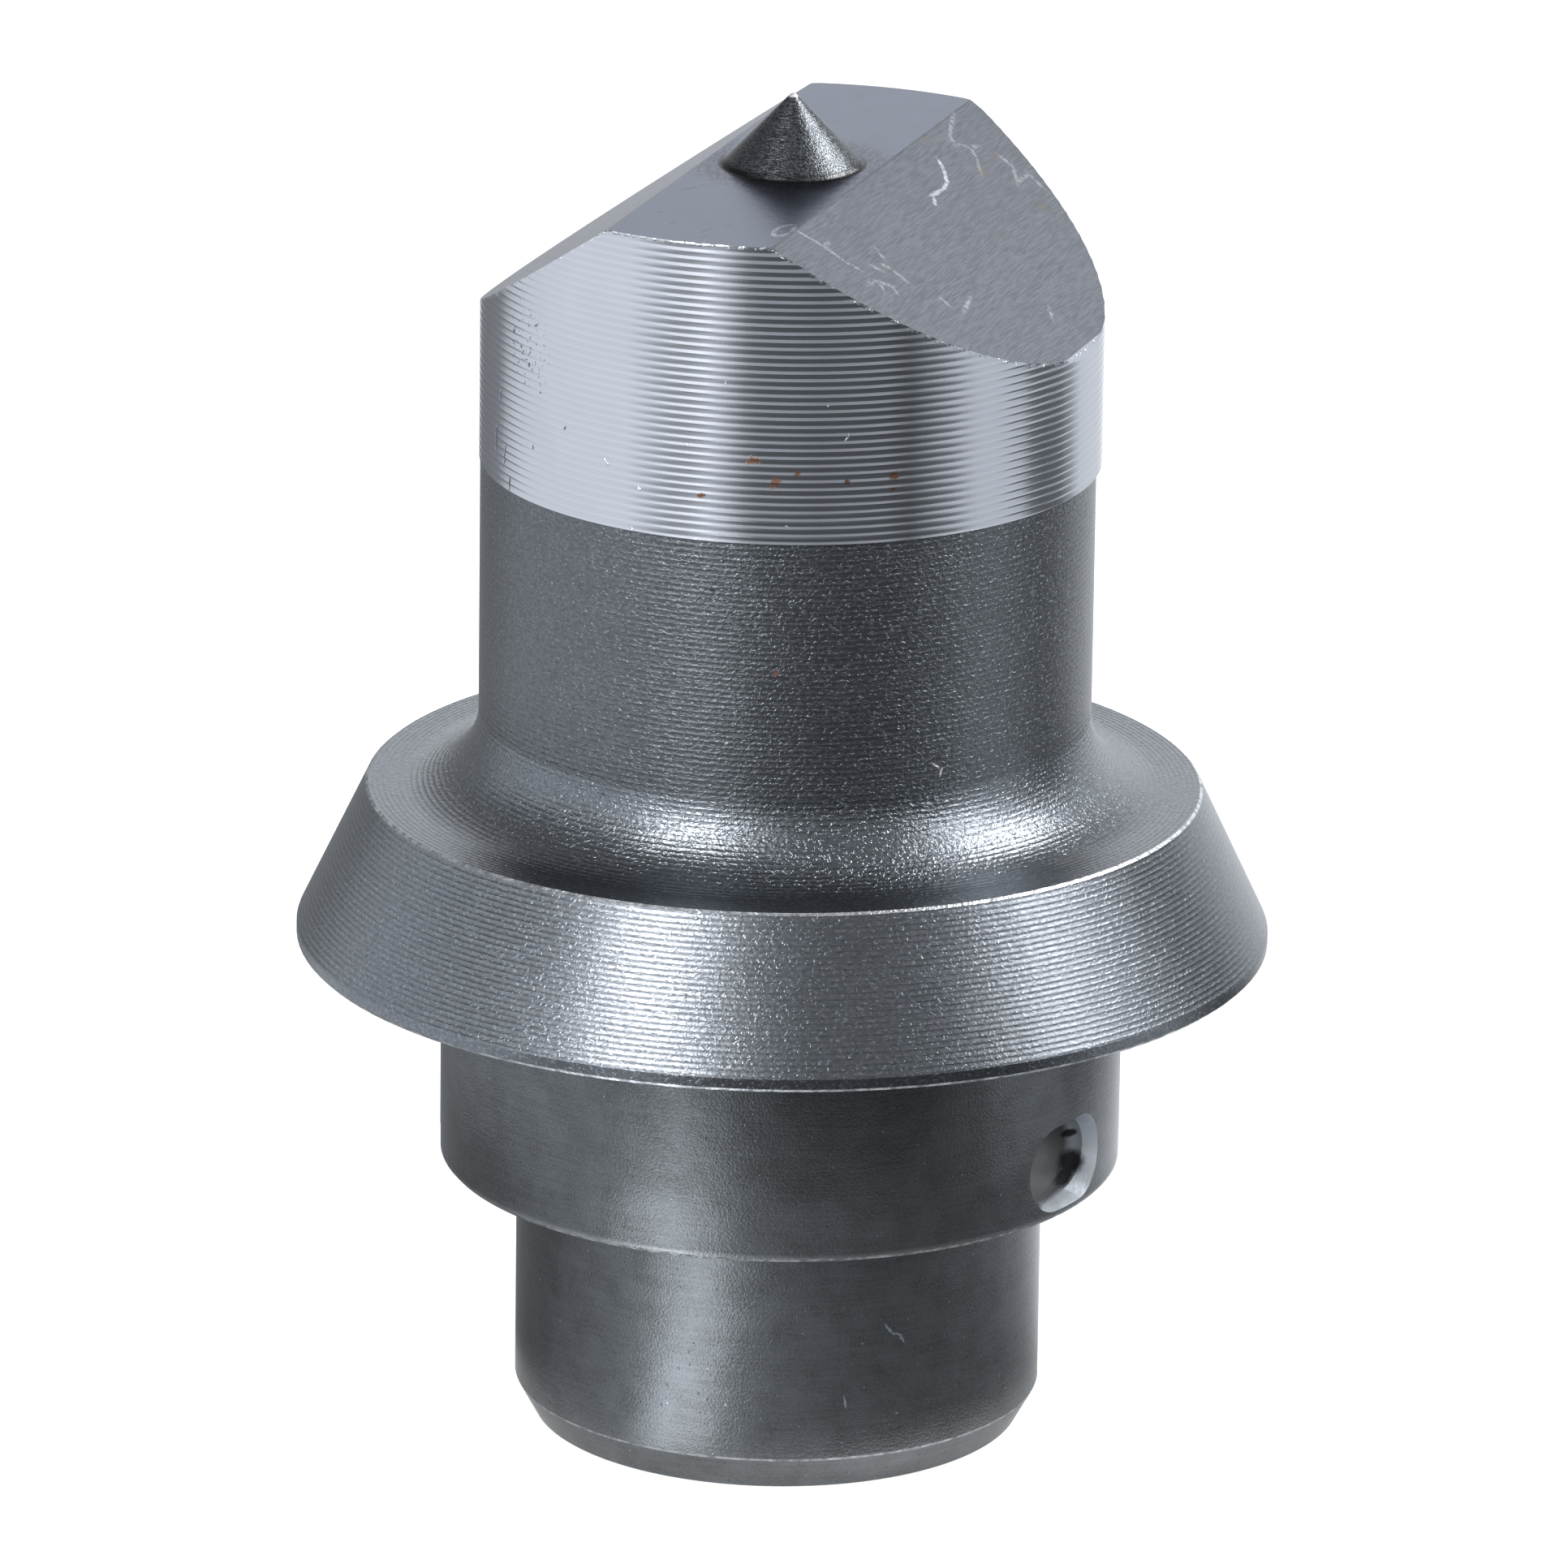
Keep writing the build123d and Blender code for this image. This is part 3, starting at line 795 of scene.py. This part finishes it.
# Brightness of the surround by degrees to the right of the camera, each list for one part of it: close to
# the punch, where the spigots mirror it, then the rest of the dish, and the wall, both mirrored by the land
CLOSE_LIGHT = (
    (-180, 0.7), (-138, 0.5), (-93, 0.35), (-62, 0.7), (-49, 0.8), (-41, 0.9), (-36, 2.6), (-30, 3.6),
    (-23, 3.1), (-16, 1.5), (-13.5, 0.7), (-2, 0.55), (9, 0.45), (20, 0.4), (30, 0.32), (41, 0.3),
    (62, 0.3), (80, 0.45), (95, 0.7), (107, 1.1), (122, 1.8), (137, 2.1), (180, 1.5),
)
DISH_LIGHT = (
    (-180, 1.6), (-165, 1.5), (-156, 0.4), (-127, 0.4), (-119, 0.9), (-112, 1.08), (-58, 1.07),
    (-47, 0.57), (-41, 0.42), (-35, 0.5), (-28, 0.74), (-24, 0.55), (-19.6, 0.31), (-15.5, 0.18),
    (-10, 0.13), (9, 0.11), (32, 0.11), (41, 0.08), (50, 0.15), (58, 0.27), (66, 0.75), (70, 0.82),
    (83, 0.84), (88, 0.72), (93, 0.22), (100, 0.16), (110, 0.2), (117, 0.5), (124, 1.1), (137, 1.35),
    (162, 1.6), (180, 1.6),
)
WALL_LIGHT = (
    (-180, 1.6), (-165, 1.5), (-156, 0.45), (-143, 0.4), (-128, 0.5), (-118, 1.0), (-85, 1.13),
    (-54, 1.15), (-43, 1.2), (-37, 1.1), (-29, 1.15), (-21, 0.75), (-16, 0.5), (-10, 0.5), (-2, 0.5),
    (10, 0.4), (33, 0.5), (42, 0.24), (52, 0.65), (60, 0.85), (72, 0.88), (90, 0.87), (98, 0.8),
    (108, 0.55), (117, 0.6), (126, 1.1), (141, 1.4), (166, 1.6), (180, 1.6),
)


def add_surround():
    """A low dish with a wall round it, under the camera's line of sight, that glows and that only the steel
    mirrors: painted reflections.
    """
    profile = [(DISH_NEAR, DISH_FOOT), (DISH_FAR, DISH_TOP), (DISH_FAR, WALL_TOP)]
    dish = spin_profile("surround", profile, SURROUND_STEPS)
    bpy.ops.object.mode_set(mode="OBJECT")
    f = Finish("surround")
    x, y, z = f.axes()
    right = x * math.cos(CAMERA_TURN) + y * math.sin(CAMERA_TURN)
    front = x * math.sin(CAMERA_TURN) - y * math.cos(CAMERA_TURN)
    round_it = right.math("ARCTAN2", right, front) / math.tau + 0.5
    rings = []
    for lights in (CLOSE_LIGHT, DISH_LIGHT, WALL_LIGHT):
        stops = [(angle / 360 + 0.5, (level, level, level, 1)) for angle, level in lights]
        rings.append(f.add("ShaderNodeValToRGB", {"stops": stops}, {"Fac": round_it}))
    reach = f.add("ShaderNodeVectorMath", {"operation": "LENGTH"}, {0: f.flat(x, y)}, "Value")
    level = f.blend(reach.rise(18, 24), rings[0], rings[1])
    level = f.blend(z.rise(DISH_TOP, DISH_TOP + 1.5), level, rings[2])
    tint = f.add("ShaderNodeVectorMath", {"operation": "MULTIPLY"}, {0: level, 1: (0.97, 1, 1.04)})
    f.add("ShaderNodeOutputMaterial", inputs={
        "Surface": f.add("ShaderNodeEmission", inputs={"Color": tint, "Strength": 1.0})
    })
    dish.data.materials.append(f.material)
    dish.visible_camera = dish.visible_diffuse = dish.visible_shadow = dish.visible_transmission = False


def light_stage():
    """A dim sky, a soft panel behind, and four lamps."""
    bpy.context.scene.world = bpy.data.worlds.new("studio")
    f = Finish("studio", bpy.context.scene.world)
    f.add("ShaderNodeOutputWorld", inputs={
        "Surface": f.add("ShaderNodeBackground", inputs={"Color": (SKY, SKY, SKY * 1.05, 1)})
    })
    add_lamp("left_key", -35.5, 300, 215, (100, 145), 21)
    add_lamp("low_key", -31, 300, 55, (90, 60), 13)
    add_lamp("right_key", 71, 300, 160, (100, 65), 20)
    add_lamp("pilot_lamp", 103, 220, 220, (75, 85), 34)
    add_lamp("back_panel", 180, 520, 220, (500, 300), 0.85)


punch = spin_profile("punch_steel", half_profile(), SPIN_STEPS)
run_land_out(punch)
grind_roof(punch)
mill_pocket(punch)
finish_steel(punch)
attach(punch, "root")
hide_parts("punch")

bpy.context.scene.view_settings.view_transform = "Standard"
add_camera()
add_floor()
add_surround()
light_stage()
